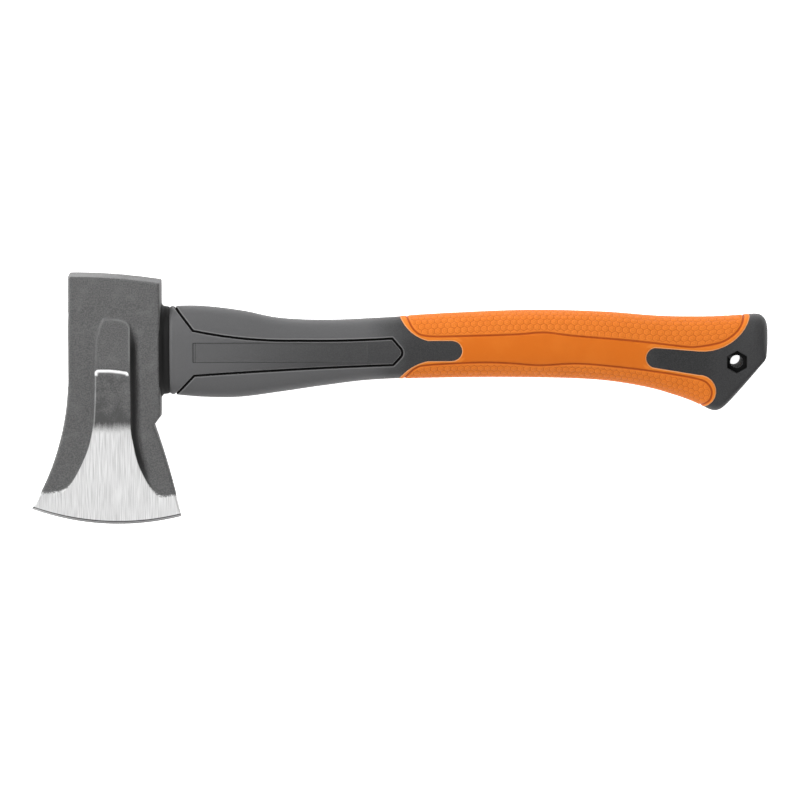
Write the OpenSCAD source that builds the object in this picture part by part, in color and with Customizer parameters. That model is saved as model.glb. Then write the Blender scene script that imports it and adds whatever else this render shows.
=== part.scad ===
// Hatchet with a forged splitting head and a two-component handle.
// It lies on its cheek: X runs towards the butt, Y towards the poll and Z through the thickness.

/* [Overall] */
// Length from the toe of the blade to the butt
overall_l = 368; // [360:1:380]
// Height from the cutting edge to the poll
overall_h = 126.4; // [124:0.2:130]
// Greatest thickness, across the cheeks of the head
head_t = 28; // [27:0.5:30]

/* [Head] */
// Width of the head from the far eye mouth to the handle side
poll_w = 47; // [45:0.5:48]
// Distance from toe to heel along the chord of the edge
edge_w = 75; // [72:0.5:78]
// How far the cutting edge bows out from its chord
edge_bow = 5.6; // [4:0.2:6]
// Thickness of the blade where the sharpened bevel starts
bevel_t = 2; // [1.6:0.2:3]
// Width of the raised rib down the cheek
rib_w = 17; // [14:0.5:20]
// Height of the eye, along Y
eye_h = 38; // [36:0.5:39]
// Width of the eye, along Z
eye_w = 17; // [16:0.5:18]

/* [Core and eye] */
// Height of the fibreglass core, along Y
core_h = 22; // [20:0.5:23]
// Thickness of the fibreglass core, along Z
core_w = 12; // [11:0.5:13]
// Thickness of the plug in the far eye mouth
plug_t = 4; // [3:0.5:6]
// Depth of the plug below the face of the head
plug_recess = 0.6; // [0.4:0.1:1.5]

/* [Handle] */
// Thickness of the handle along its front section
handle_t = 24; // [23:0.5:25]
// Thickness of the seal between head and handle
seal_t = 4; // [3:0.5:4.5]
// Thickness of the skin outside the inner moulding
skin_t = 2.5; // [2:0.1:3]
// Depth of the side panels below the crown of the face
panel_t = 2.8; // [2.5:0.1:3.2]
// Depth of the label recess below the crown of the face
label_d = 0.9; // [0.7:0.1:1.2]

/* [Hang hole] */
// Radius of the hang hole
hole_r = 3.2; // [2.8:0.1:3.5]
// Width across flats of the hexagonal recess
hex_flats = 9.75; // [9:0.25:11]
// Depth of each hexagonal recess below the face
hex_d = 3; // [2:0.5:4]

/* [Hidden] */

$fn = 48;
mid_z = head_t / 2;
toe_x = -overall_l / 2;
butt_x = overall_l / 2;
heel_x = toe_x + edge_w;
shoulder_x = toe_x + 65.4;
mouth_x = shoulder_x - poll_w;
poll_y = overall_h / 2;
edge_y = -overall_h / 2;
heel_y = edge_y + 3.8;
toe_y = edge_y + 7.7;
// Where the shoulder below the handle turns into the beard.
notch_y = -12.8;
eye_y = 24.6;
core_end_x = 150;
seal_x = shoulder_x + seal_t;
hang = [168, 18.7];
butt_z = 13;
// Height of the hexagonal cutters, which reach in from outside the faces.
hex_cut = 1 + mid_z - butt_z + hex_d;
neck_z = handle_t / 2;
grip_z = neck_z + 0.8;

// Points of a circular arc from a to b, bowed to the left by sag; b itself is left out.
function arc(a, b, sag, n = 10) = sag == 0 ? [a] :
    let (c = norm(b - a) / 2, r = (c * c + sag * sag) / (2 * sag), u = (b - a) / (2 * c),
        v = [-u[1], u[0]], k = (a + b) / 2 - v * (r - sag), h = asin(c / r))
    [for (i = [0:n - 1]) let (w = -h + 2 * h * i / n) k + u * r * sin(w) + v * r * cos(w)];

// Closed outline through corners [x, y, sag], where sag bows the side that follows the corner.
function outline(c) = [for (i = [0:len(c) - 1]) let (p = c[i], q = c[(i + 1) % len(c)])
    each arc([p[0], p[1]], [q[0], q[1]], p[2])];

// Smooth curve through a list of stations.
function between(p, q, r, s, t) = 0.5 * (2 * q + (r - p) * t + (2 * p - 5 * q + 4 * r - s) * t * t
    + (3 * q - p - 3 * r + s) * t * t * t);
function smooth(s, n) = let (m = len(s) - 1) [for (i = [0:m - 1], j = [0:n - 1])
    between(s[max(i - 1, 0)], s[i], s[i + 1], s[min(i + 2, m)], j / n), s[m]];

// Handle stations: the top edge's x and y, the bottom edge's x and y, half the thickness,
// and how square the section is, from 1 for an ellipse down to 0.7 for a flat-sided butt.
stations = [
    [seal_x, 46.2, seal_x, 2.3, neck_z, 0.82],
    [-98, 46.3, -98, 0.8, neck_z, 0.82],
    [-78, 43.9, -80, 0.7, neck_z, 0.82],
    [-60, 40.3, -60, 3.2, neck_z, 0.83],
    [-37, 39.2, -37, 6.5, neck_z, 0.84],
    [-10, 40.2, -12, 9.3, neck_z, 0.85],
    [25, 42.3, 25, 10.4, neck_z + 0.2, 0.87],
    [65, 43.7, 65, 10.4, grip_z, 0.88],
    [101, 42.8, 98, 9.2, grip_z + 0.2, 0.88],
    [130, 40.6, 122, 5.7, grip_z + 0.1, 0.86],
    [152, 40.2, 138, 1.3, grip_z + 0.2, 0.82],
    [168, 40.8, 148, -2.4, butt_z + 0.4, 0.77],
    [178.5, 41.7, 155.5, -6.2, butt_z + 0.6, 0.72],
    [182.3, 40, 159.5, -6.3, butt_z + 0.5, 0.7],
    [butt_x - 0.2, 36, 163, -3.8, butt_z + 0.3, 0.7],
    [butt_x, 30, 169.5, 3.4, butt_z, 0.7],
    [butt_x - 0.2, 25.5, 176.5, 11.8, butt_z - 0.6, 0.7],
    [butt_x - 0.7, 22, 181.2, 17.6, butt_z - 1.6, 0.7]
];

function signed_pow(v, e) = sign(v) * pow(abs(v), e);
// Rounded section between the top and bottom points of station s, drawn in by d.
function section(s, d, n = 24) =
    let (top = [s[0], s[1]], low = [s[2], s[3]], c = (top + low) / 2, half = norm(top - low) / 2,
        u = (top - low) / (2 * half), h = half - d, t = s[4] - d, e = s[5])
    [for (i = [0:n - 1]) let (a = 360 * i / n, y = h * signed_pow(cos(a), e))
        [c[0] + u[0] * y, c[1] + u[1] * y, mid_z + t * signed_pow(sin(a), e)]];

// Handle shape from one station to another, drawn in by d all round.
module handle_shape(d = 0, first = 0, last = len(stations) - 1) {
    curve = smooth(stations, 2);
    rings = [for (k = [2 * first:2 * last]) section(curve[k], d)];
    n = len(rings[0]);
    m = len(rings);
    polyhedron(
        points = [for (ring = rings) each ring],
        faces = concat(
            [[for (i = [0:n - 1]) i], [for (i = [n - 1:-1:0]) (m - 1) * n + i]],
            [for (k = [0:m - 2], i = [0:n - 1]) let (j = (i + 1) % n)
                each [[k * n + i, (k + 1) * n + i, (k + 1) * n + j],
                    [k * n + i, (k + 1) * n + j, k * n + j]]]),
        convexity = 6);
}

// Inner shape that the grip is moulded onto. It stops short of both ends of the handle.
module grip_seat() handle_shape(skin_t, 5, 14);

// Upright slab over an outline, through the whole thickness.
module through(points) translate([0, 0, -1]) linear_extrude(head_t + 2) polygon(points);

// Bar with rounded ends across Y, from x0 to x1 along the axis of the eye.
module slot_bar(x0, x1, h, w) translate([x0, eye_y, mid_z]) rotate([90, 0, 90])
    linear_extrude(x1 - x0) union() {
        square([h - w, w], center = true);
        for (side = [-1, 1]) translate([side * (h - w) / 2, 0]) circle(d = w);
    }

// Profile of half thicknesses [y, z], extruded along X across the whole head.
module wedge(half) translate([toe_x - 2, 0, mid_z]) rotate([90, 0, 90])
    linear_extrude(edge_w + 4)
    polygon(concat(half, [for (i = [len(half) - 1:-1:0]) [half[i][0], -half[i][1]]]));

head_points = outline([
    [mouth_x + 1.4, poll_y - 0.1, 0.9],
    [shoulder_x + 0.2, poll_y - 3.6, 0],
    [shoulder_x, notch_y + 4.6, 0],
    [shoulder_x - 3.4, notch_y, 0.8],
    [heel_x, heel_y, edge_bow],
    [toe_x, toe_y, -3.9],
    [mouth_x, 5, 0],
    [mouth_x + 0.4, poll_y - 2.2, 0]
]);

// Half thicknesses of the forged faces and of the raised, ground rib.
forged = [[poll_y + 1, mid_z - 1.2], [poll_y - 2, mid_z], [28, mid_z], [8, 11.6], [-14, 7.4],
    [-45, 3.2], [-61, bevel_t / 2], [edge_y - 0.4, 0.05]];
ground = [[46, mid_z], [16, mid_z], [-14, 9.4], [-45, 3.6], [-50, 2.4]];

rib_x = mouth_x + 15;
rib_points = outline([
    [rib_x, 44, 0],
    [rib_x + rib_w, 44, 0],
    [rib_x + rib_w, -12, -1.2],
    [heel_x - 10, -48, 0],
    [toe_x + 8, -47, -5],
    [rib_x, -10, 0]
]);

// Front edge of the grip, as the right-hand side of the hard front moulding.
front_region = outline([
    [seal_x - 1, 60, 0],
    [0.5, 60, 0],
    [0.5, 40.5, -2],
    [14, 29.6, 0],
    [26, 29.6, 5],
    [26, 19.4, 0],
    [14, 19.3, -1.6],
    [0, 10.4, 0],
    [0, -20, 0],
    [seal_x - 1, -20, 0]
]);

// Rear edge of the grip, as the left-hand side of the butt moulding.
rear_region = outline([
    [200, 60, 0],
    [174.8, 60, 0],
    [174.8, 40.9, 5.2],
    [149, 24.1, 0],
    [127, 25.9, -4.4],
    [127, 15.8, 0],
    [148.6, 12.3, 7.2],
    [152.3, -4.3, 0],
    [152.3, -20, 0],
    [200, -20, 0]
]);

panel_region = outline([
    [seal_x + 3.6, 45.4, 0],
    [-102.8, 34.8, -1.5],
    [-50, 29.8, -0.45],
    [-3.8, 30.8, 0],
    [0.3, 26, 0.9],
    [0.3, 21.4, 0],
    [-3.3, 17.4, -0.5],
    [-102.3, 12.3, 0],
    [seal_x + 3.8, 2.7, 0]
]);

label_region = outline([[-103, 28.8, 0], [-16, 28.8, 0], [-16, 19, 0], [-103, 19, 0]]);

module axe_head() color("dimgray") difference() {
    union() {
        intersection() {
            through(head_points);
            wedge(forged);
        }
        intersection() {
            through(rib_points);
            through(head_points);
            wedge(ground);
        }
    }
    slot_bar(mouth_x - 2, shoulder_x + 2, eye_h, eye_w);
}

module eye_plug() color("black")
    slot_bar(mouth_x + plug_recess, mouth_x + plug_recess + plug_t, eye_h, eye_w);

module eye_resin() color("saddlebrown") difference() {
    slot_bar(mouth_x + plug_recess + plug_t, shoulder_x, eye_h, eye_w);
    slot_bar(mouth_x, shoulder_x + 1, core_h, core_w);
}

module fibreglass_core() color("khaki")
    slot_bar(mouth_x + plug_recess + plug_t, core_end_x, core_h, core_w);

module neck_seal() color("black") difference() {
    slot_bar(shoulder_x, seal_x, 43.6, 24);
    slot_bar(shoulder_x - 1, seal_x + 1, core_h, core_w);
}

// Slab above depth d on the face at the given side, over an outline.
module above(side, d, points) translate([0, 0, side > 0 ? mid_z + neck_z - d : -5])
    linear_extrude(mid_z - neck_z + d + 5) polygon(points);

module side_panel(side) difference() {
    intersection() {
        handle_shape(last = 7);
        above(side, panel_t, panel_region);
    }
    above(side, label_d, label_region);
}

module handle_body() color("dimgray") difference() {
    union() {
        intersection() {
            handle_shape();
            union() {
                through(front_region);
                through(rear_region);
            }
        }
        grip_seat();
    }
    for (side = [-1, 1]) above(side, panel_t, panel_region);
    slot_bar(seal_x - 1, core_end_x, core_h, core_w);
    translate([hang[0], hang[1], -1]) cylinder(h = head_t + 2, r = hole_r);
    for (z = [-1, head_t + 1 - hex_cut]) translate([hang[0], hang[1], z])
        cylinder(h = hex_cut, d = hex_flats / cos(30), $fn = 6);
}

module side_panel_upper() color("gray") side_panel(1);
module side_panel_lower() color("gray") side_panel(-1);

module grip_sleeve() color("darkorange") difference() {
    handle_shape(first = 4);
    grip_seat();
    through(front_region);
    through(rear_region);
}

axe_head();
eye_plug();
eye_resin();
fibreglass_core();
neck_seal();
handle_body();
side_panel_upper();
side_panel_lower();
grip_sleeve();
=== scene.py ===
import math
import bpy
import bmesh
import numpy as np
from mathutils import Matrix, Vector


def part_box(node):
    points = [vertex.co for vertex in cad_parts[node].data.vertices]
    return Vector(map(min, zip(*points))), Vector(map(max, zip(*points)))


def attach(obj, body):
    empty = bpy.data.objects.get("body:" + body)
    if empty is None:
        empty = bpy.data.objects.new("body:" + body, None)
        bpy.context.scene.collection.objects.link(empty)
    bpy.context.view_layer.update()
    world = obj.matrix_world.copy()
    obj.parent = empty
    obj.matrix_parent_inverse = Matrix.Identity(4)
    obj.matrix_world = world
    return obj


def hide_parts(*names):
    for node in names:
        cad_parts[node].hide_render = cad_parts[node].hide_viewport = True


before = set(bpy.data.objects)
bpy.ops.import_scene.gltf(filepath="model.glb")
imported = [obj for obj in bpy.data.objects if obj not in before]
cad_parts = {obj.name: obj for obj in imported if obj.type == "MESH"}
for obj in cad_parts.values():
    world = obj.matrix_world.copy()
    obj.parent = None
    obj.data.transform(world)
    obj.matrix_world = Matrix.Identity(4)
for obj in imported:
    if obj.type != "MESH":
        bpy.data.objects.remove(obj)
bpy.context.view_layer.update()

mm = 0.001  # shapes are worked out in millimetres, as in the part, and scaled once at the end
root = "root"

headLow, headHigh = (np.array(c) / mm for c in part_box("axe_head"))
sealLow, sealHigh = (np.array(c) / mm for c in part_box("neck_seal"))
bodyHigh = np.array(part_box("handle_body")[1]) / mm
midZ = headHigh[2] / 2
shoulderX, sealX, buttX = sealLow[0], sealHigh[0], bodyHigh[0]
toeX, heelX = headLow[0], headHigh[0]
print("frame: head", headLow.round(1), headHigh.round(1))


# points from a to just before b, bowed to the left by sag
def arc(a, b, sag, steps=10):
    a, b = np.array(a, float), np.array(b, float)
    if sag == 0:
        return [a]
    half = np.linalg.norm(b - a) / 2
    radius = (half * half + sag * sag) / (2 * sag)
    along = (b - a) / (2 * half)
    left = np.array([-along[1], along[0]])
    centre = (a + b) / 2 - left * (radius - sag)
    turn = math.asin(half / radius)
    angles = [-turn + 2 * turn * i / steps for i in range(steps)]
    return [centre + along * radius * math.sin(w) + left * radius * math.cos(w) for w in angles]


# closed outline through [x, y, sag] corners
def outline(corners):
    points = []
    for here, there in zip(corners, corners[1:] + corners[:1]):
        points += arc(here[:2], there[:2], here[2])
    return np.array(points)


# Catmull-Rom curve through rows of numbers
def smoothCurve(stations, steps):
    rows = np.array(stations, float)
    padded = np.vstack([rows[0], rows, rows[-1]])
    points = []
    for p, q, r, s in zip(padded, padded[1:], padded[2:], padded[3:]):
        for t in np.arange(steps) / steps:
            points.append(0.5 * (2 * q + (r - p) * t + (2 * p - 5 * q + 4 * r - s) * t * t
                                 + (3 * q - p - 3 * r + s) * t ** 3))
    return np.array(points + [rows[-1]])


# distance from each point to a line of segments, negative inside a closed one
def distanceTo(points, line, closed=True):
    starts = line if closed else line[:-1]
    ends = np.roll(line, -1, axis=0) if closed else line[1:]
    best = np.full(len(points), 1e9)
    inside = np.zeros(len(points), bool)
    for a, b in zip(starts, ends):
        ab = b - a
        t = np.clip(((points - a) @ ab) / max(ab @ ab, 1e-12), 0, 1)
        best = np.minimum(best, np.linalg.norm(points - a - t[:, None] * ab, axis=1))
        if closed and a[1] != b[1]:
            crosses = (a[1] > points[:, 1]) != (b[1] > points[:, 1])
            inside ^= crosses & (points[:, 0] < a[0] + (points[:, 1] - a[1]) * ab[0] / ab[1])
    return np.where(inside, -best, best)


# 0 below low, 1 above high, smooth between
def ramp(value, low, high):
    t = np.clip((value - low) / (high - low), 0, 1)
    return t * t * (3 - 2 * t)


# flat grid made by bmesh, with the column and row number of each vertex
def gridMesh(columns, rows):
    bm = bmesh.new()
    bmesh.ops.create_grid(bm, x_segments=columns - 1, y_segments=rows - 1, size=1)
    bm.verts.ensure_lookup_table()
    flat = np.array([v.co[:2] for v in bm.verts])
    column = np.rint((flat[:, 0] + 1) / 2 * (columns - 1)).astype(int)
    row = np.rint((flat[:, 1] + 1) / 2 * (rows - 1)).astype(int)
    return bm, column, row


# moves the points of a mesh, in their own order
def place(bm, points):
    for vert, point in zip(bm.verts, points):
        vert.co = point


# a number for each point, which the materials read by name
def addField(bm, name, values):
    layer = bm.verts.layers.float.get(name) or bm.verts.layers.float.new(name)
    for vert, value in zip(bm.verts, values):
        vert[layer] = float(value)


# turns a mesh worked out in millimetres into an object in metres
def makePiece(name, bm, sharpAngle=40, outward=True):
    if outward:
        bmesh.ops.recalc_face_normals(bm, faces=bm.faces)
    for face in bm.faces:
        face.smooth = True
    for edge in bm.edges:
        edge.smooth = len(edge.link_faces) != 2 or edge.calc_face_angle(0) < math.radians(sharpAngle)
    bmesh.ops.scale(bm, vec=(mm, mm, mm), verts=bm.verts)
    mesh = bpy.data.meshes.new(name)
    bm.to_mesh(mesh)
    bm.free()
    piece = bpy.data.objects.new(name, mesh)
    bpy.context.scene.collection.objects.link(piece)
    return piece


# what the modifiers make becomes the piece's own mesh
def applyModifiers(piece):
    graph = bpy.context.evaluated_depsgraph_get()
    mesh = bpy.data.meshes.new_from_object(piece.evaluated_get(graph))
    piece.modifiers.clear()
    old, piece.data = piece.data, mesh
    bpy.data.meshes.remove(old)
    return piece


# boolean difference, with the cutter removed afterwards
def cutAway(piece, cutter):
    cut = piece.modifiers.new("cut", "BOOLEAN")
    cut.operation, cut.object, cut.solver = "DIFFERENCE", cutter, "EXACT"
    applyModifiers(piece)
    piece.data.set_sharp_from_angle(angle=math.radians(35))
    bpy.data.objects.remove(cutter)
    return piece


# gives a piece its material and its body, and hides the CAD nodes that it stands for
def finishPiece(piece, material, slotName, *nodes):
    piece.data.materials.clear()
    piece.data.materials.append(material)
    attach(piece, root)
    if nodes:
        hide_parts(*nodes)
    print("made", piece.name, "with", sum(len(p.vertices) - 2 for p in piece.data.polygons), "triangles")


# a shader socket that can be used in Python arithmetic
class Wire:
    def __init__(self, shader, socket):
        self.shader, self.socket = shader, socket

    def maths(self, operation, first, second=None):
        inputs = [first] if second is None else [first, second]
        return self.shader.node("ShaderNodeMath", {"operation": operation}, inputs)

    def __add__(self, other):
        return self.maths("ADD", self, other)

    __radd__ = __add__

    def __mul__(self, other):
        return self.maths("MULTIPLY", self, other)

    __rmul__ = __mul__

    def __sub__(self, other):
        return self.maths("SUBTRACT", self, other)

    def __rsub__(self, other):
        return self.maths("SUBTRACT", other, self)

    def __truediv__(self, other):
        return self.maths("DIVIDE", self, other)

    def __abs__(self):
        return self.maths("ABSOLUTE", self)


# one material under construction
class Shader:
    def __init__(self, name):
        self.material = bpy.data.materials.new(name)
        self.material.use_nodes = True
        self.tree = self.material.node_tree
        self.surface = self.tree.nodes["Principled BSDF"]
        self.object = self.node("ShaderNodeTexCoord", {}, [], "Object")

    def node(self, kind, settings, inputs, output=0):
        made = self.tree.nodes.new(kind)
        for key, value in settings.items():
            setattr(made, key, value)
        pairs = inputs.items() if isinstance(inputs, dict) else enumerate(inputs)
        for key, value in pairs:
            if isinstance(value, Wire):
                self.tree.links.new(value.socket, made.inputs[key])
            else:
                made.inputs[key].default_value = value
        return Wire(self, made.outputs[output])

    def field(self, name):
        return self.node("ShaderNodeAttribute", {"attribute_name": name}, [], "Fac")

    # a coordinate of the piece, in millimetres
    def axis(self, name):
        return self.node("ShaderNodeSeparateXYZ", {}, [self.object], name) * (1 / mm)

    # 0 at low, 1 at high, smooth between; low may be the larger
    def step(self, value, low, high):
        flip = low > high
        settings = {"interpolation_type": "SMOOTHSTEP"}
        inputs = {"Value": value, "From Min": min(low, high), "From Max": max(low, high),
                  "To Min": 1.0 if flip else 0.0, "To Max": 0.0 if flip else 1.0}
        return self.node("ShaderNodeMapRange", settings, inputs)

    def noise(self, scale, detail=4.0, stretch=(1, 1, 1)):
        mapped = self.node("ShaderNodeMapping", {}, {"Vector": self.object, "Scale": stretch})
        inputs = {"Vector": mapped, "Scale": scale, "Detail": detail}
        return self.node("ShaderNodeTexNoise", {}, inputs)

    # blend of two colours, each a tuple or a wire
    def mix(self, amount, first, second):
        def four(c):
            return c if isinstance(c, Wire) else (*c, 1)
        inputs = {0: amount, 6: four(first), 7: four(second)}
        return self.node("ShaderNodeMix", {"data_type": "RGBA"}, inputs, 2)

    def bump(self, height, distance, strength=1.0):
        inputs = {"Height": height, "Distance": distance * mm, "Strength": strength}
        self.feed("Normal", self.node("ShaderNodeBump", {}, inputs))

    def feed(self, name, value):
        if isinstance(value, Wire):
            self.tree.links.new(value.socket, self.surface.inputs[name])
        else:
            self.surface.inputs[name].default_value = value


# linear colour from 0 to 255 screen values
def paint(red, green, blue):
    def linear(c):
        c = c / 255
        return c / 12.92 if c <= 0.04045 else ((c + 0.055) / 1.055) ** 2.4
    return (linear(red), linear(green), linear(blue))


steelLook = {
    # the scuffed grey gives both the random lighter patches and the painted highlight of the poll band
    "forged": paint(96, 96, 96), "forgedDark": paint(74, 74, 74), "scuffedAndPollHighlight": paint(118, 118, 118),
    "ribHighlightTone": paint(146, 146, 146), "flankShade": paint(34, 34, 34),
    "ground": paint(226, 226, 226), "groundShade": paint(188, 188, 188),
    # rim is the white of the painted highlight on the border of the ground steel
    "dull": paint(76, 76, 76), "dullLight": paint(112, 112, 112), "rim": paint(250, 250, 250),
    # grey and dark of the painted shading on the edge bevel
    "bevel": paint(150, 150, 150), "bevelLine": paint(52, 52, 52),
    "freshY": (-10.6, -17.0),  # between these heights the dull cheek turns bright
    "topRimHighlightY": (12.2, 13.4), "leftRimHighlightX": (-149.6, -151), "pollY": (61.6, 62.6), "edgeZoneY": (-41, -46),
    "bevelLineAt": 1.45,
    "metallic": 0.55, "roughness": 0.6, "groundShine": 0.2, "bumpHigh": 0.3,
}


def forgedSteel():
    s = Shader("forged_steel")
    tongue = s.field("tongue")
    edge = s.field("edge")
    speckle = s.noise(1500, 6)
    grain = s.noise(3600, 4)
    patches = s.noise(130, 3)
    streaks = s.noise(60, 6, (60, 1.2, 1))
    x = s.axis("X")
    y = s.axis("Y")
    low = s.step(y, *steelLook["edgeZoneY"])
    rough = (speckle - 0.5) * 3 + (patches - 0.5) * 3
    ground = s.step((tongue + rough * (0.08 + low * 0.9)) / (0.12 + low * 0.5), 1, -1)
    fresh = s.step(y + rough * 0.9 + (streaks - 0.5) * 6, *steelLook["freshY"])
    # painted highlight: a white line along the top and the upper left border of the ground steel, where its
    # crease catches the light
    topRimHighlight = s.step(y, *steelLook["topRimHighlightY"]) * s.step(tongue, -1.9, -0.8)
    leftRimHighlight = s.step(x, *steelLook["leftRimHighlightX"]) * s.step(abs(tongue + 0.4), 0.5, 0.1) * (patches * 0.4)
    rim = x.maths("MAXIMUM", topRimHighlight, leftRimHighlight) * (1 - fresh)
    forged = s.mix(s.step(speckle, 0.34, 0.68), steelLook["forgedDark"], steelLook["forged"])
    forged = s.mix(s.step(patches, 0.5, 0.8) * 0.3, forged, steelLook["scuffedAndPollHighlight"])
    # painted shade: the drafted sides and the rounded border of the head are darkened, as they lie in shade
    forged = s.mix(s.step(s.field("side"), 1.1, 0.1) * 0.6, forged, steelLook["forgedDark"])
    # painted highlight: the band of the poll is lightened, as its face turns to the light
    forged = s.mix(s.step(y, *steelLook["pollY"]) * 0.4, forged, steelLook["scuffedAndPollHighlight"])
    # painted highlight along the raised edge of the rib
    forged = s.mix(s.field("ribHighlight") * 0.4, forged, steelLook["ribHighlightTone"])
    # painted shade in the hollow on the right of the rib
    forged = s.mix(s.field("flankShade"), forged, steelLook["flankShade"])
    mottle = speckle * 0.45 + patches * 0.45 + (y - 4) * 0.008
    dull = s.mix(s.step(mottle, 0.3, 0.62), steelLook["dull"], steelLook["dullLight"])
    bright = s.mix(s.step(streaks, 0.3, 0.66), steelLook["groundShade"], steelLook["ground"])
    bright = s.mix(s.step(speckle, 0.6, 0.75) * 0.25, bright, steelLook["groundShade"])
    steel = s.mix(fresh, dull, bright)
    # painted shading of the edge bevel: a grey strip for its face and a dark line at its crease
    bevel = s.step(edge, 1.6, 1.3)
    steel = s.mix(bevel, steel, steelLook["bevel"])
    steel = s.mix(s.step(abs(edge - steelLook["bevelLineAt"]), 0.35, 0.15), steel, steelLook["bevelLine"])
    steel = s.mix(rim, steel, steelLook["rim"])
    s.feed("Base Color", s.mix(ground, forged, steel))
    s.feed("Metallic", ground * steelLook["metallic"])
    s.feed("Roughness", steelLook["roughness"] - ground * steelLook["groundShine"] + (grain - 0.5) * 0.12)
    height = speckle * (1 - ground * 0.75) + grain * 0.4 + patches * 0.5 + ground * streaks * 0.5
    s.bump(height, steelLook["bumpHigh"], 0.6)
    return s.material


plasticLook = {
    # lit tones at the neck and shaded tones further along, all of the same black plastic
    "litNeck": paint(86, 86, 87), "tongue": paint(46, 46, 47),
    "litPanelNeck": paint(90, 90, 91), "shadedPanelTip": paint(56, 56, 57), "shadedRearTongue": paint(34, 34, 35),
    "groove": paint(6, 6, 6), "grain": paint(110, 110, 110), "edge": paint(150, 150, 150),
    "label": paint(70, 70, 70), "labelLine": paint(30, 30, 30), "butt": paint(62, 62, 63),
    "neckLightFade": (-20, 8), "panelLightFade": (-112, -20),  # where the painted light on the neck fades into the darker, shaded plastic, in x
    # where the painted shade of the rear tongue and the painted light of the butt end lie, in x
    "rearFrom": (122, 132), "rearTo": (160, 150), "buttFrom": (160, 178),
    "labelFade": (-24, -44), "labelInnerX": -101.7,
    "roughness": 0.46, "specular": 0.22, "bumpHigh": 0.06,
}


# black plastic with painted light and shade: lighter at the neck, where the light falls, and darker along the
# handle; on a side panel it also draws the label's outline
def hardPlastic(name, litNeck, shadedTip, fade, isPanel):
    s = Shader(name)
    # painted shade: the narrow groove round the side panels is drawn near black
    depth = s.field("groove")
    groove = s.step(depth, -0.08, 0.08)
    # painted highlight: a lighter line on the lips beside the groove
    edge = s.step(depth, -0.75, -0.3) * (1 - groove)
    x = s.axis("X")
    cloud = s.noise(90, 3)
    grain = s.noise(2400, 4)
    # painted light and shade: lighter towards the neck, darker further along the handle
    shade = s.mix(s.step(x + (cloud - 0.5) * 12, *fade), plasticLook[litNeck], plasticLook[shadedTip])
    if isPanel:
        label = s.field("label")
        inside = s.step(label, 0.05, -0.1)
        line = s.step(abs(label + 0.1), 0.3, 0.1) * s.step(x, *plasticLook["labelFade"])
        inner = s.step(abs(x - plasticLook["labelInnerX"]), 0.26, 0.1) * inside
        shade = s.mix(inside * 0.22, shade, plasticLook["label"])
        shade = s.mix(line * 0.85 + inner * 0.55, shade, plasticLook["labelLine"])
    else:
        # painted shade on the rear tongue and painted light on the butt end
        rearShade = s.step(x, *plasticLook["rearFrom"]) * s.step(x, *plasticLook["rearTo"])
        shade = s.mix(rearShade * 0.8, shade, plasticLook["shadedRearTongue"])
        shade = s.mix(s.step(x, *plasticLook["buttFrom"]) * 0.6, shade, plasticLook["butt"])
    shade = s.mix(s.step(grain, 0.3, 0.75) * 0.16, shade, plasticLook["grain"])
    shade = s.mix(edge * 0.35, shade, plasticLook["edge"])
    s.feed("Base Color", s.mix(groove, shade, plasticLook["groove"]))
    s.feed("Roughness", plasticLook["roughness"] + grain * 0.16 + groove * 0.3)
    s.feed("Specular IOR Level", plasticLook["specular"])
    s.bump(grain + cloud * 0.5, plasticLook["bumpHigh"], 0.6)
    return s.material


gripLook = {
    "stripe": paint(210, 106, 18), "pad": paint(221, 119, 35),
    "rim": paint(236, 140, 50), "rimEdgeHighlight": paint(226, 158, 104),
    "groove": paint(154, 62, 4), "cellLine": paint(176, 82, 12),
    "cell": 3.3, "ring": 0.7,  # across the flats of one honeycomb cell, radius of the ring inside it
    "roughness": 0.55, "specular": 0.2, "bumpHigh": 0.12,
}


# wall lines and middle rings of the honeycomb, each 0 to 1
def honeycombShade(s):
    u = s.field("along") / gripLook["cell"]
    v = s.field("around") / (gripLook["cell"] * math.sqrt(3) / 2)
    walls, middles = [], []
    for shift in (0, 1):
        x, y = u - 0.5 * shift, (v - shift) / 2
        x = abs(x - x.maths("ROUND", x))
        y = abs(y - y.maths("ROUND", y)) * math.sqrt(3)
        walls.append(x.maths("MAXIMUM", x, x * 0.5 + y * (math.sqrt(3) / 2)))
        middles.append(x.maths("SQRT", x * x + y * y))
    wall = u.maths("MINIMUM", *walls)
    middle = u.maths("MINIMUM", *middles) * gripLook["cell"]
    inPad = s.step(s.field("pad"), -0.6, -1.4)
    return s.step(wall, 0.41, 0.48) * inPad, s.step(abs(middle - gripLook["ring"]), 0.32, 0.1) * inPad


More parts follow.
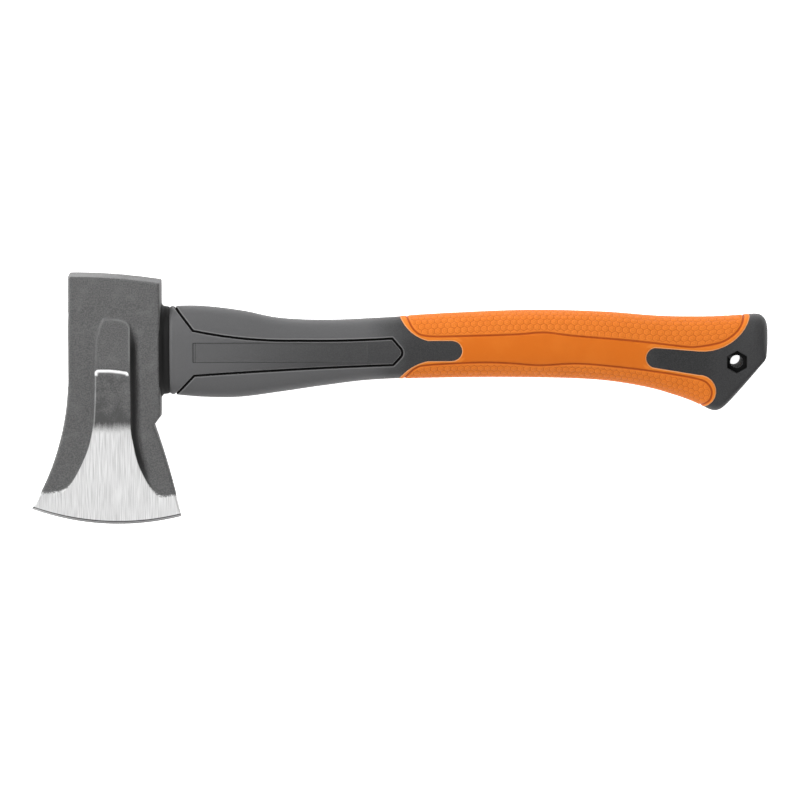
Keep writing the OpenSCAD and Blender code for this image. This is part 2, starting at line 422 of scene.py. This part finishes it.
def softGrip():
    s = Shader("soft_grip")
    padEdge = s.field("pad")
    pad = s.step(padEdge, 0.2, -0.2)
    groove = s.step(abs(padEdge), 0.7, 0.25)
    rim = s.step(s.field("rim"), -0.5, -0.25)
    cellLine, ring = honeycombShade(s)
    grain = s.noise(2600, 3)
    cloud = s.noise(70, 3)
    colour = s.mix(pad, gripLook["stripe"], gripLook["pad"])
    # painted highlight: a lighter band of orange next to the black, by the grooves; the cloud adds random
    # tone
    nearBlackHighlight = s.step(s.field("rim"), -2.8, -1.6) * (1 - pad) * s.step(padEdge, 3.4, 2)
    colour = s.mix(s.step(cloud, 0.4, 0.7) * 0.1 + nearBlackHighlight * 0.35, colour, gripLook["rim"])
    colour = s.mix(cellLine * 0.6 + ring * 0.2, colour, gripLook["cellLine"])
    # painted shade in the grooves between the stripe and the pads
    colour = s.mix(groove * 0.85, colour, gripLook["groove"])
    # painted highlight on the rounded edge of the orange where it meets the black
    colour = s.mix(rim * 0.8, colour, gripLook["rimEdgeHighlight"])
    s.feed("Base Color", colour)
    s.feed("Roughness", gripLook["roughness"] + grain * 0.2)
    s.feed("Specular IOR Level", gripLook["specular"])
    s.bump(grain * 0.3 + ring * 0.5 - cellLine, gripLook["bumpHigh"], 0.5)
    return s.material


plainLooks = {  # two colours, noise scale, roughness, stretch of the noise
    "black_rubber": (paint(12, 12, 12), paint(22, 22, 22), 1800, 0.65, (1, 1, 1)),
    "black_plastic": (paint(24, 24, 24), paint(34, 34, 34), 1500, 0.5, (1, 1, 1)),
    "resin": (paint(150, 112, 58), paint(176, 138, 80), 300, 0.35, (1, 1, 1)),
    "fibreglass": (paint(196, 186, 142), paint(222, 214, 176), 900, 0.45, (0.03, 1, 1)),
}


def plainFinish(name):
    first, second, scale, roughness, stretch = plainLooks[name]
    s = Shader(name)
    grain = s.noise(scale, 4, stretch)
    s.feed("Base Color", s.mix(grain, first, second))
    s.feed("Roughness", roughness + grain * 0.15)
    s.feed("Specular IOR Level", 0.3)
    s.bump(grain, 0.06, 0.5)
    return s.material


handle = {
    "neckHalf": 12, "gripHalf": 12.8, "buttHalf": 13,
    "grooveWide": 1.1, "grooveDeep": 1.3,  # round the side panels
    "reach": 0.26,  # how far a point may be from a contour and still be moved onto it
    "mergeWithin": 0.05, "sliverArea": 0.012,
}


# top edge x and y, bottom edge x and y, half thickness, roundness (1 is an ellipse, less is squarer)
def handleStations():
    n, g, b = handle["neckHalf"], handle["gripHalf"], handle["buttHalf"]
    return [
        [sealX, 46.2, sealX, 2.3, n, 0.82],
        [-98, 46.3, -98, 0.8, n, 0.82],
        [-78, 43.9, -80, 0.7, n, 0.82],
        [-60, 40.3, -60, 3.2, n, 0.83],
        [-37, 39.2, -37, 6.5, n, 0.84],
        [-10, 40.2, -12, 9.3, n, 0.85],
        [25, 42.3, 25, 10.4, n + 0.2, 0.87],
        [65, 43.7, 65, 10.4, g, 0.88],
        [101, 42.8, 98, 9.2, g + 0.2, 0.88],
        [130, 40.6, 122, 5.7, g + 0.1, 0.86],
        [152, 40.2, 138, 1.3, g + 0.2, 0.82],
        [168, 40.8, 148, -2.4, b + 0.4, 0.77],
        [178.5, 41.7, 155.5, -6.2, b + 0.6, 0.72],
        [182.3, 40, 159.5, -6.3, b + 0.5, 0.7],
        [buttX - 0.2, 36, 163, -3.8, b + 0.3, 0.7],
        [buttX, 30, 169.5, 3.4, b, 0.7],
        [buttX - 0.2, 25.5, 176.5, 11.8, b - 0.6, 0.7],
        [buttX - 0.7, 22, 181.2, 17.6, b - 1.6, 0.7],
    ]


handleCurve = smoothCurve(handleStations(), 40)
handleMiddle = (handleCurve[:, :2] + handleCurve[:, 2:4]) / 2
handleAlong = np.concatenate([[0], np.cumsum(np.linalg.norm(np.diff(handleMiddle, axis=0), axis=1))])


# places along the handle, evenly spaced in each span [first x, last x, spacing], with their section rows
def ringsBetween(spans):
    rows = []
    for first, last, spacing in spans:
        a, b = (np.interp(x, handleMiddle[:, 0], handleAlong) for x in (first, last))
        count = max(2, round((b - a) / spacing))
        rows.append(np.linspace(a, b, count, endpoint=False))
    rows = np.concatenate(rows + [[b]])
    return rows, np.array([np.interp(rows, handleAlong, c) for c in handleCurve.T]).T


# evenly spaced points round one section, from the bottom edge and back, with their distances to both edges
def sectionPoints(row, around):
    a = np.linspace(0, 2 * math.pi, 721) + math.pi
    top, low = row[:2], row[2:4]
    half = np.linalg.norm(top - low) / 2
    up = (top - low) / (2 * half)
    y = half * np.sign(np.cos(a)) * np.abs(np.cos(a)) ** row[5]
    z = -row[4] * np.sign(np.sin(a)) * np.abs(np.sin(a)) ** row[5]
    length = np.concatenate([[0], np.cumsum(np.hypot(np.diff(y), np.diff(z)))])
    at = np.linspace(0, length[-1], around)
    y, z = np.interp(at, length, y), np.interp(at, length, z)
    centre = (top + low) / 2
    fromTop = np.abs(at - length[-1] / 2)
    fromLow = np.minimum(at, length[-1] - at)
    points = np.stack([centre[0] + up[0] * y, centre[1] + up[1] * y, midZ + z], 1)
    return points, fromTop, fromLow


# tube round the handle, with the place, outward direction and surface distances of each point
def handleGrid(spans, around):
    along, rows = ringsBetween(spans)
    bm, column, row = gridMesh(len(rows), around)
    table = [sectionPoints(r, around) for r in rows]
    points = np.array([t[0] for t in table])
    ds = np.gradient(points, axis=0)
    dw = np.gradient(points, axis=1)
    dw[:, 0] = dw[:, -1] = points[:, 1] - points[:, -2]
    outward = np.cross(dw, ds)
    outward /= np.linalg.norm(outward, axis=2)[:, :, None] + 1e-12
    centre = points.mean(axis=1, keepdims=True)
    outward *= np.sign(((points - centre) * outward).sum(axis=(1, 2)))[:, None, None]
    fields = {"along": along[column],
              "fromTop": np.array([t[1] for t in table])[column, row],
              "fromLow": np.array([t[2] for t in table])[column, row]}
    return bm, points[column, row], outward[column, row], fields


frontRegion = outline([
    [sealX - 9, 60, 0], [0.5, 60, 0], [0.5, 40.5, -2], [14, 29.6, 0], [26, 29.6, 5],
    [26, 19.4, 0], [14, 19.3, -1.6], [0, 10.4, 0], [0, -20, 0], [sealX - 9, -20, 0]])
rearRegion = outline([
    [200, 60, 0], [174.8, 60, 0], [174.8, 40.9, 5.2], [149, 24.1, 0], [127, 25.9, -4.4],
    [127, 15.8, 0], [148.6, 12.3, 7.2], [152.3, -4.3, 0], [152.3, -20, 0], [200, -20, 0]])
panelRegion = outline([
    [sealX - 9, 60, 0], [-120.2, 57, 0], [-102.8, 34.8, -1.5], [-50, 29.8, -0.45], [-3.8, 30.8, 0],
    [0.3, 26, 0.9], [0.3, 21.4, 0], [-3.3, 17.4, -0.5], [-102.3, 12.3, 0],
    [-120.8, -8, 0], [sealX - 9, -20, 0]])
labelRegion = outline([[-103, 28.8, 0], [-16, 28.8, 0], [-16, 19, 0], [-103, 19, 0]])
# grooves that part the smooth stripe of the grip from its two textured pads
upperPad = np.array([[3.8, 60], *smoothCurve([
    [3.8, 41], [7.5, 34.6], [14.5, 31.9], [36, 32.1], [58, 32.8], [72, 33.7], [86, 32.1],
    [116, 29.5], [142, 26.5], [149, 26.5], [156.8, 27.8], [162, 29.5], [166.9, 32.8], [170, 36.6],
    [171.8, 41]], 8), [171.8, 60]])
lowerPad = np.array([[2.6, -20], [2.6, 10.4], *smoothCurve([
    [3.4, 11.6], [8, 15.8], [15, 17.4], [40, 18.6], [56, 18.1], [70, 17.1], [90, 17.9],
    [116, 15.4], [137, 12.4], [150, 9.8], [154.1, 7], [155.6, 3.2], [154.4, -1], [150.6, -3.6]], 8),
    [150.6, -20]])


# distance to the nearest of several regions, negative inside
def regionDistance(points, *regions):
    flat = np.asarray(points)[:, :2]
    return np.min([distanceTo(flat, r) for r in regions], axis=0)


# slides points that are close to a contour along the surface onto it, and tells which they are
def snapTo(points, outward, level, reach, *regions):
    far = regionDistance(points, *regions)
    near = np.abs(far - level) < reach
    here, normal = points[near], outward[near]
    step = 0.02
    slope = np.zeros_like(here)
    for axis in (0, 1):
        shift = np.zeros(3)
        shift[axis] = step
        ahead, behind = regionDistance(here + shift, *regions), regionDistance(here - shift, *regions)
        slope[:, axis] = (ahead - behind) / (2 * step)
    slope -= (slope * normal).sum(axis=1)[:, None] * normal
    steep = np.maximum((slope ** 2).sum(axis=1), 0.25)
    points = points.copy()
    points[near] -= ((far[near] - level) / steep)[:, None] * slope
    return points, near


# splits the quads that a contour crosses from corner to corner, so that it runs along mesh edges
def splitAlong(bm, onContour):
    bm.verts.index_update()
    for face in bm.faces[:]:
        corners = face.verts[:]
        on = [onContour[v.index] for v in corners]
        if sum(on) == 2 and on[0] == on[2]:
            bmesh.utils.face_split(face, corners[on.index(True)], corners[on.index(True) + 2])
        elif sum(on) == 3:
            bmesh.utils.face_split(face, corners[on.index(False)], corners[on.index(False) - 2])


head = {
    "poll": 63.2, "crown": 0.9, "edgeBow": 5.6, "halfThick": 14,
    "round": 1.3, "pollRound": 0.7, "draft": 0.9,
    "edgeHalf": 0.08, "bevelHeight": 1.5,
    "columns": 110, "rows": 210,
    "inset": [0, 0.2, 0.42, 0.64, 0.85, 1.05, 1.3, 1.6, 2.0, 2.4],  # closer lines of the mesh along a side
    "band": 2.9,  # where the even spacing starts
    "edgeLevels": [0, 0.35, 0.75, 1.1, 1.5, 2.0], "firstRow": 2.6,  # heights above the cutting edge
    "valleyLeft": 0.3, "valleyRight": 2.8, "valleyWide": 2.0,  # hollows beside the rib
    "forged": [[64, 14], [54, 14], [46, 13.7], [40, 13.2], [28, 12.5], [16, 11.5], [0, 9.4], [-14, 7.0],
               [-30, 4.7], [-45, 3.0], [-61, 1.0], [-70, 0.2]],  # height and half thickness
    "ground": [[64, 14], [16, 14], [0, 11.9], [-14, 9.7], [-30, 6.6], [-45, 3.7], [-61, 1.1], [-70, 0.2]],
    "flank": 1.5,
}


def headBorder():
    waist, notch = (shoulderX - 47, 5), (shoulderX - 3.4, -12.8)
    left = np.vstack([arc((toeX, -55.5), waist, -3.9, 30),
                      [waist, (shoulderX - 46.6, 61), (shoulderX - 45.6, 63.1)]])
    right = np.vstack([arc((heelX, -59.4), notch, -0.8, 20),
                       [notch, (shoulderX, -8.2), (shoulderX + 0.1, 30), (shoulderX + 0.2, 59.6)]])
    top = np.array(arc(left[-1], right[-1], head["crown"], 30) + [right[-1]])
    low = np.array(arc(left[0], right[0], -head["edgeBow"], 40) + [right[0]])
    return left, right, top, low


# points of a line at a share of its extent along an axis
def alongLine(line, share, axis):
    at = line[0, axis] + share * (line[-1, axis] - line[0, axis])
    other = 1 - axis
    values = np.interp(at, line[:, axis], line[:, other])
    return np.stack([at, values] if axis == 0 else [values, at], 1)


tongueRegion = np.vstack([
    outline([[-151.6, 13.6, 0.8], [-149.6, 15.8, 0.4], [-136.6, 14.8, 0.7], [-134.9, 12.6, 0]]),
    smoothCurve([[-134.1, 4.4], [-134.1, -12.8], [-133.2, -20.3], [-130.7, -31.8], [-126.6, -41],
                 [-123.2, -46.4], [-120.3, -48.5], [-117, -48.9], [-112.6, -48.6], [heelX + 9, -48]], 6),
    [[heelX + 9, -75], [toeX - 9, -75]],
    smoothCurve([[toeX - 9, -47.6], [-179, -47], [-173.7, -46.8], [-169.1, -46.5], [-166, -44.6],
                 [-162.8, -40.4], [-158.8, -32.9], [-155.3, -24.3], [-153.3, -16], [-152.3, -7],
                 [-151.9, 2]], 6)])
ribRegion = outline([
    [-147, 41, 0.5], [-137.5, 40.2, 1.1], [-134.2, 35.6, 0], [-134.2, -12.8, -3.2], [-122.2, -47.4, 0],
    [-115, -60, 0],
    [-175, -60, 0], [-163, -40.6, -4.0], [-152.2, -10, 0], [-151, 30, 0.6]])


# half thickness of the head before its outer edges are rounded, and the fields of its material
def headThickness(flat):
    def level(rows):
        curve = smoothCurve(sorted(rows), 12)
        return np.interp(flat[:, 1], curve[:, 0], curve[:, 1])
    toTongue = distanceTo(flat, tongueRegion)
    toRib = distanceTo(flat, ribRegion)
    forged, ground = level(head["forged"]), level(head["ground"])
    right = ramp(flat[:, 0], -146, -138)
    fade = (1 - ramp(flat[:, 1], 24, 38)) * ramp(flat[:, 1], -47, -26)
    deep = head["valleyLeft"] + head["valleyRight"] * right
    valley = deep * fade * np.exp(-((toRib - head["valleyWide"]) / head["valleyWide"]) ** 2)
    # painted shade in the hollow on the right of the rib, the side turned away from the light
    flankShade = fade * right * ramp(toRib, -0.2, 0.5) * (1 - ramp(toRib, 1.6, 3.8))
    forged = forged - valley
    toEither = np.maximum(np.minimum(toRib, toTongue), 0)
    rib = np.minimum(ground, 14) - toEither * head["flank"]
    soft = 0.35 * np.minimum(toEither, 1)
    gap = rib - forged
    blended = forged + 0.5 * (gap + np.sqrt(gap * gap + soft * soft))
    below = toTongue < 0
    # painted highlight along the raised edge of the rib, strongest on its top and its right
    ribHighlight = np.exp(-((toRib + 0.3) / 0.5) ** 2) * ramp(flat[:, 1], 15, 24) * (0.45 + 0.55 * right)
    return np.where(below, np.minimum(ground, 14), blended), toTongue, flankShade, ribHighlight


def buildHead():
    left, right, top, low = headBorder()
    inset, band = np.array(head["inset"]), head["band"]
    columns, rows = head["columns"], head["rows"]
    inner = np.linspace(0, 1, columns)
    height = head["poll"] * 2
    levels = np.concatenate([head["edgeLevels"], np.linspace(head["firstRow"], height - band, rows)]) / height
    levels = np.concatenate([levels, (1 - inset / height)[::-1]])
    bm, column, row = gridMesh(columns + 2 * len(inset), len(levels))
    v = levels
    leftAt, rightAt = alongLine(left, v, 1), alongLine(right, v, 1)
    wide = np.linalg.norm(rightAt - leftAt, axis=1)
    grid = np.zeros((columns + 2 * len(inset), len(v), 2))
    for j in range(len(v)):
        w = wide[j]
        mid = band + inner * (w - 2 * band)
        u = np.concatenate([inset, mid, w - inset[::-1]]) / w
        topAt, lowAt = alongLine(top, u, 0), alongLine(low, u, 0)
        corner = ((1 - u)[:, None] * (1 - v[j]) * left[0] + u[:, None] * (1 - v[j]) * right[0]
                  + (1 - u)[:, None] * v[j] * left[-1] + u[:, None] * v[j] * right[-1])
        grid[:, j] = ((1 - u)[:, None] * leftAt[j] + u[:, None] * rightAt[j]
                      + (1 - v[j]) * lowAt + v[j] * topAt - corner)
    flat = grid[column, row]
    full, toTongue, flankShade, ribHighlight = headThickness(flat)
    border = np.vstack([left[:-1], top[:-1], right[::-1][:-1]])
    side = np.abs(distanceTo(flat, border, closed=False))
    edge = np.abs(distanceTo(flat, low, closed=False))
    # the sharpened bevel, then the draft of the sides and their rounded corners
    full = np.where(edge < head["bevelHeight"],
                    head["edgeHalf"] + (full - head["edgeHalf"]) * edge / head["bevelHeight"], full)
    draft = head["draft"] * full / head["halfThick"]
    radius = np.minimum(np.where(flat[:, 1] > 61, head["pollRound"], head["round"]), 0.5 * full)
    wall = (full - radius) * np.clip(side / np.maximum(draft, 1e-6), 0, 1)
    bend = np.clip((side - draft) / np.maximum(radius, 1e-6), 0, 1)
    z = np.where(side < draft, wall, full - radius + radius * np.sqrt(1 - (1 - bend) ** 2))
    onSide = (column == 0) | (column == column.max()) | (row == row.max())
    z[onSide] = 0
    z[row == 0] = 0
    place(bm, np.column_stack([flat, z]))
    addField(bm, "tongue", np.clip(toTongue, -20, 20))
    addField(bm, "edge", np.clip(edge, 0, 20))
    addField(bm, "flankShade", flankShade)
    addField(bm, "ribHighlight", ribHighlight)
    addField(bm, "side", np.clip(side, 0, 20))
    # the lower half is the mirror of the upper
    upperHalf = bm.verts[:] + bm.edges[:] + bm.faces[:]
    bmesh.ops.mirror(bm, geom=upperHalf, axis="Z", merge_dist=0.02)
    bmesh.ops.remove_doubles(bm, verts=bm.verts, dist=0.01)
    bmesh.ops.translate(bm, vec=(0, 0, midZ), verts=bm.verts)
    piece = makePiece("axeHead", bm, 50)
    cutAway(piece, eyeCutter())
    finishPiece(piece, forgedSteel(), "forged_steel", "axe_head")


eye = {
    "height": 38.0, "width": 17.0, "y": 24.6,
    "startX": shoulderX - 53, "length": 60,  # longer than the head is wide, so that it cuts right through
}


# bar with round ends that goes through the head along the handle
def eyeCutter():
    bm = bmesh.new()
    bmesh.ops.create_circle(bm, segments=48, radius=eye["width"] / 2, cap_ends=True)
    for vert in bm.verts:
        vert.co.x += math.copysign((eye["height"] - eye["width"]) / 2, vert.co.x)
    made = bmesh.ops.extrude_face_region(bm, geom=bm.faces[:])
    grown = [v for v in made["geom"] if isinstance(v, bmesh.types.BMVert)]
    bmesh.ops.translate(bm, vec=(0, 0, eye["length"]), verts=grown)
    place(bm, [(eye["startX"] + v.co.z, eye["y"] + v.co.x, midZ + v.co.y) for v in bm.verts])
    return makePiece("eyeCutter", bm)


hang = {
    "x": 168, "y": 18.7, "radius": 3.2,
    "flats": 9.75, "deep": 3.0,  # the hexagonal recess on each face
    "chamfer": 1.7, "lap": 0.1,  # the chamfer's cone starts this far inside the recess
}


# cylinder, cone or prism on the axis of the hang hole
def upright(sides, lowRadius, highRadius, low, high):
    bm = bmesh.new()
    bmesh.ops.create_cone(bm, cap_ends=True, segments=sides, radius1=lowRadius, radius2=highRadius,
                          depth=high - low)
    bmesh.ops.translate(bm, vec=(hang["x"], hang["y"], (low + high) / 2), verts=bm.verts)
    return makePiece("hangCutter", bm)


# the bore, and on both faces a hexagonal recess with a chamfered mouth
def hangCutters():
    across = hang["flats"] / math.cos(math.pi / 6) / 2
    small = across - hang["lap"]
    large = small + hang["chamfer"]
    floorZ = midZ - handle["buttHalf"] + hang["deep"]
    mouthZ = floorZ - hang["deep"]
    top = 2 * midZ
    return [
        upright(48, hang["radius"], hang["radius"], -2, top + 2),
        upright(6, across, across, -6, floorZ),
        upright(6, large, small, mouthZ - hang["chamfer"], mouthZ),
        upright(6, across, across, top - floorZ, top + 6),
        upright(6, small, large, top - mouthZ, top - mouthZ + hang["chamfer"]),
    ]


# merges the seam of a tube and caps both ends
def closeEnds(bm):
    bmesh.ops.remove_doubles(bm, verts=bm.verts, dist=0.001)
    rims = [e for e in bm.edges if len(e.link_faces) == 1]
    bmesh.ops.holes_fill(bm, edges=rims, sides=0)
    caps = [f for f in bm.faces if len(f.verts) > 8]
    bmesh.ops.triangulate(bm, faces=caps)


body = {
    "around": 212,  # points round one section
    "spans": [[sealX, 4, 0.42], [4, 33, 0.8], [33, 118, 3.0], [118, buttX - 1.5, 0.75]],
    "bedDeep": 1.4,  # the bed that the grip lies in
}


def buildBody():
    bm, points, outward, _ = handleGrid(body["spans"], body["around"])
    half = handle["grooveWide"] / 2
    points, onContour = snapTo(points, outward, half, handle["reach"], panelRegion)
    grip = regionDistance(points, frontRegion, rearRegion)
    panel = regionDistance(points, panelRegion)
    underGrip = ramp(grip, 0.5, 1.3)
    underPanel = 1 - ramp(panel, half - 0.34, half - 0.02)
    sink = np.maximum(body["bedDeep"] * underGrip, handle["grooveDeep"] * underPanel)
    place(bm, points - outward * sink[:, None])
    splitAlong(bm, onContour)
    addField(bm, "groove", half - panel)
    closeEnds(bm)
    piece = makePiece("handleBody", bm, 50)
    for cutter in hangCutters():
        cutAway(piece, cutter)
    look = hardPlastic("hard_plastic", "litNeck", "tongue", plasticLook["neckLightFade"], False)
    finishPiece(piece, look, "hard_plastic", "handle_body")


# deletes what lies past a limit of a field
def keepInside(bm, values, limit):
    past = [v for v, value in zip(bm.verts, values) if value > limit]
    bmesh.ops.delete(bm, geom=past, context="VERTS")


# merges the seam and points that nearly touch, then removes slivers from the rim
def tidySkin(bm):
    bmesh.ops.remove_doubles(bm, verts=bm.verts, dist=handle["mergeWithin"])
    small = [f for f in bm.faces if f.calc_area() < handle["sliverArea"]]
    slivers = [f for f in small if any(e.is_boundary for e in f.edges)]
    bmesh.ops.delete(bm, geom=slivers, context="FACES")


# gives a skin its inner wall, then thins that wall's mesh
def hollow(piece, thickness, keep=1.0):
    piece.vertex_groups.new(name="innerWall")
    wall = piece.modifiers.new("wall", "SOLIDIFY")
    wall.thickness, wall.offset, wall.shell_vertex_group = thickness * mm, -1, "innerWall"
    applyModifiers(piece)
    if keep < 1:
        thin = piece.modifiers.new("thin", "DECIMATE")
        thin.ratio, thin.vertex_group = keep, "innerWall"
        applyModifiers(piece)
    piece.vertex_groups.clear()


# turns a skin's faces away from the middle of the handle
def aimOutward(piece):
    bm = bmesh.new()
    bm.from_mesh(piece.data)
    middle = np.array([np.interp(f.calc_center_median()[0] / mm, handleMiddle[:, 0], handleMiddle[:, 1])
                       for f in bm.faces])
    wrong = 0
    for face, y in zip(bm.faces, middle):
        centre = face.calc_center_median()
        away = Vector((0, centre[1] - y * mm, centre[2] - midZ * mm))
        wrong += -1 if face.normal.dot(away) > 0 else 1
    if wrong > 0:
        bmesh.ops.reverse_faces(bm, faces=bm.faces)
    bm.to_mesh(piece.data)
    bm.free()


sidePanel = {
    "around": 220, "spans": [[sealX, 2, 0.4]], "wall": 0.9,
    "labelDeep": 0.3,
    "rimDrop": 0.14, "neckDrop": 0.6,  # how far the skin dips at its rim and at the ring of the neck
}


def buildPanels():
    look = hardPlastic("panel_plastic", "litPanelNeck", "shadedPanelTip", plasticLook["panelLightFade"], True)
    sides = ((1, "sidePanelUpper", "side_panel_upper"), (-1, "sidePanelLower", "side_panel_lower"))
    for side, name, node in sides:
        bm, points, outward, _ = handleGrid(sidePanel["spans"], sidePanel["around"])
        half = handle["grooveWide"] / 2
        otherSide = (points[:, 2] - midZ) * side < -0.02
        points, onContour = snapTo(points, outward, -half, handle["reach"], panelRegion)
        panel = regionDistance(points, panelRegion)
        label = regionDistance(points, labelRegion)
        rimDrop = sidePanel["rimDrop"] * ramp(panel, -half - 0.5, -half)
        recess = sidePanel["labelDeep"] * (1 - ramp(label, -0.5, 0)) * ramp(-panel, half + 0.5, half + 1.4)
        neckDrop = sidePanel["neckDrop"] * ramp(sealX + 1.2 - points[:, 0], 0, 1.2)
        place(bm, points - outward * (rimDrop + recess + neckDrop)[:, None])
        addField(bm, "groove", np.minimum(panel + half - 0.1, -0.1))
        addField(bm, "label", np.clip(label, -9, 9))
        splitAlong(bm, onContour)
        keepInside(bm, np.where(otherSide, 99, panel), -half + handle["reach"] / 2)
        tidySkin(bm)
        piece = makePiece(name, bm, 50, outward=False)
        aimOutward(piece)
        hollow(piece, sidePanel["wall"])
        finishPiece(piece, look, "panel_plastic", node)


# 0 in the middle of a cell to 1 at its wall, and the distance from the cell's middle
def honeycomb(along, around, cell):
    rise = cell * math.sqrt(3) / 2
    best = np.full(len(along), 1e9)
    wall = np.zeros(len(along))
    for shift in (0, 1):
        row = np.rint((around / rise - shift) / 2) * 2 + shift
        x = along - (np.rint(along / cell - 0.5 * shift) + 0.5 * shift) * cell
        y = around - row * rise
        distance = np.hypot(x, y)
        tilted = rise / cell * y
        reach = np.max([np.abs(x), np.abs(0.5 * x + tilted), np.abs(0.5 * x - tilted)], axis=0)
        closer = distance < best
        wall = np.where(closer, reach / (cell / 2), wall)
        best = np.where(closer, distance, best)
    return wall, best


sleeve = {
    "around": 208, "spans": [[-2, buttX - 12, 0.55]], "reach": 0.28,
    "wall": 1.9, "innerKeep": 0.7,  # thickness, and the share of the inner wall's triangles that is kept
    "padLift": 0.2, "cellDeep": 0.19, "ringHigh": 0.06, "ringWide": 0.26, "grooveDeep": 0.5,
}


def buildGrip():
    bm, points, outward, fields = handleGrid(sleeve["spans"], sleeve["around"])
    points, onContour = snapTo(points, outward, 0, sleeve["reach"], frontRegion, rearRegion)
    toBlack = -regionDistance(points, frontRegion, rearRegion)
    upper, lower = (distanceTo(points[:, :2], r) for r in (upperPad, lowerPad))
    pad = np.minimum(upper, lower)
    groove = 1 - ramp(np.abs(pad), 0.1, 0.75)
    nearTop = upper < lower
    around = np.where(nearTop, fields["fromTop"], fields["fromLow"])
    wall, middle = honeycomb(fields["along"], around, gripLook["cell"])
    inPad = 1 - ramp(pad, -1.5, -0.6)
    line = inPad * ramp(wall, 0.72, 1.0)
    ring = inPad * np.exp(-((middle - gripLook["ring"]) / sleeve["ringWide"]) ** 2)
    edgeDrop = 0.1 * ramp(toBlack, -0.7, -0.1) + 1.3 * ramp(toBlack, 0.04, 0.5)
    lift = (sleeve["padLift"] - edgeDrop - sleeve["grooveDeep"] * groove
            - sleeve["cellDeep"] * line + sleeve["ringHigh"] * ring)
    place(bm, points + outward * lift[:, None])
    splitAlong(bm, onContour)
    addField(bm, "pad", np.clip(pad, -9, 9))
    addField(bm, "rim", np.clip(toBlack, -9, 9))
    addField(bm, "along", fields["along"])
    addField(bm, "around", around)
    keepInside(bm, toBlack, 0.8)
    tidySkin(bm)
    piece = makePiece("gripSleeve", bm, 60, outward=False)
    aimOutward(piece)
    hollow(piece, sleeve["wall"], sleeve["innerKeep"])
    finishPiece(piece, softGrip(), "soft_grip", "grip_sleeve")


seal = {
    "around": 97,
    "profile": [  # x, and how far the ring stands out from the first section of the handle
        (shoulderX - 1.2, -4), (shoulderX - 1.2, 1.6), (shoulderX + 0.2, 1.3), (shoulderX + 0.7, 0.5),
        (shoulderX + 1.3, 0.1), (shoulderX + 2.2, 0), (sealX - 0.5, -0.2), (sealX, -0.6), (sealX, -4)],
}


# flared ring between the head and the shoulder of the handle
def buildSeal():
    _, rows = ringsBetween([[sealX, sealX + 1, 1]])
    base, _, _ = sectionPoints(rows[0], seal["around"])
    centre = base.mean(axis=0)
    out = (base - centre) / np.linalg.norm(base - centre, axis=1)[:, None]
    bm, column, row = gridMesh(len(seal["profile"]), seal["around"])
    points = np.array([base + out * grow + [x - sealX, 0, 0] for x, grow in seal["profile"]])
    place(bm, points[column, row])
    closeEnds(bm)
    piece = makePiece("neckSeal", bm, 50)
    finishPiece(piece, plainFinish("black_rubber"), "black_rubber", "neck_seal")


def dressCadNodes():
    finishes = {"eye_plug": "black_plastic", "eye_resin": "resin", "fibreglass_core": "fibreglass"}
    for node, finish in finishes.items():
        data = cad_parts[node].data
        data.materials.clear()
        data.materials.append(plainFinish(finish))
    print("dressed", ", ".join(finishes))


studio = {
    "from": (-0.0693, 0.2873, 2.7), "at": (0.0007, -0.0027, 0), "lens": 243.2,
    "sensor": 36, "clip": 20,
    "floor": 1.0, "world": 0.22,  # glow of the floor and of the surroundings
    "floorHalf": 4, "floorZ": -0.0006, "floorTone": 0.9, "floorRoughness": 0.9,
    "lights": {  # place, size in metres, power in watts
        "keyLight": ((-1.15, 0.75, 1.0), 0.7, 19),
        "backLight": ((-0.35, 1.3, 1.15), 1.0, 9),
        "frontFill": ((0.1, -1.2, 1.2), 1.0, 8),
        "overheadPanel": ((0, 0, 3.3), 3.0, 26),
    },
}


def buildFloor():
    bm = bmesh.new()
    bmesh.ops.create_grid(bm, x_segments=1, y_segments=1, size=studio["floorHalf"])
    mesh = bpy.data.meshes.new("studioFloor")
    bm.to_mesh(mesh)
    bm.free()
    floor = bpy.data.objects.new("studioFloor", mesh)
    floor.location = (0, 0, studio["floorZ"])
    bpy.context.scene.collection.objects.link(floor)
    s = Shader("floor")
    tone = studio["floorTone"]
    s.feed("Base Color", (tone, tone, tone, 1))
    s.feed("Roughness", studio["floorRoughness"])
    s.feed("Emission Color", (1, 1, 1, 1))
    s.feed("Emission Strength", studio["floor"])
    floor.data.materials.append(s.material)
    print("floor ready")


def buildLights():
    world = bpy.data.worlds.new("studioWorld")
    world.use_nodes = True
    world.node_tree.nodes["Background"].inputs[0].default_value = (1, 1, 1, 1)
    world.node_tree.nodes["Background"].inputs[1].default_value = studio["world"]
    bpy.context.scene.world = world
    bpy.context.scene.view_settings.view_transform = "Standard"
    for name, (where, size, power) in studio["lights"].items():
        data = bpy.data.lights.new(name, "AREA")
        data.size, data.energy = size, power
        lamp = bpy.data.objects.new(name, data)
        lamp.location = where
        lamp.rotation_euler = (-Vector(where)).to_track_quat("-Z", "Y").to_euler()
        bpy.context.scene.collection.objects.link(lamp)
    print("lights ready")


def buildCamera():
    data = bpy.data.cameras.new("camera")
    data.lens, data.sensor_width = studio["lens"], studio["sensor"]
    data.clip_end = studio["clip"]
    camera = bpy.data.objects.new("camera", data)
    camera.location = studio["from"]
    back = (Vector(studio["from"]) - Vector(studio["at"])).normalized()
    right = Vector((0, 1, 0)).cross(back).normalized()
    turned = Matrix((right, back.cross(right), back)).transposed()
    camera.rotation_euler = turned.to_euler()
    bpy.context.scene.collection.objects.link(camera)
    bpy.context.scene.camera = camera
    print("camera ready")


buildFloor()
buildLights()
buildCamera()
buildHead()
buildSeal()
buildBody()
buildPanels()
buildGrip()
dressCadNodes()
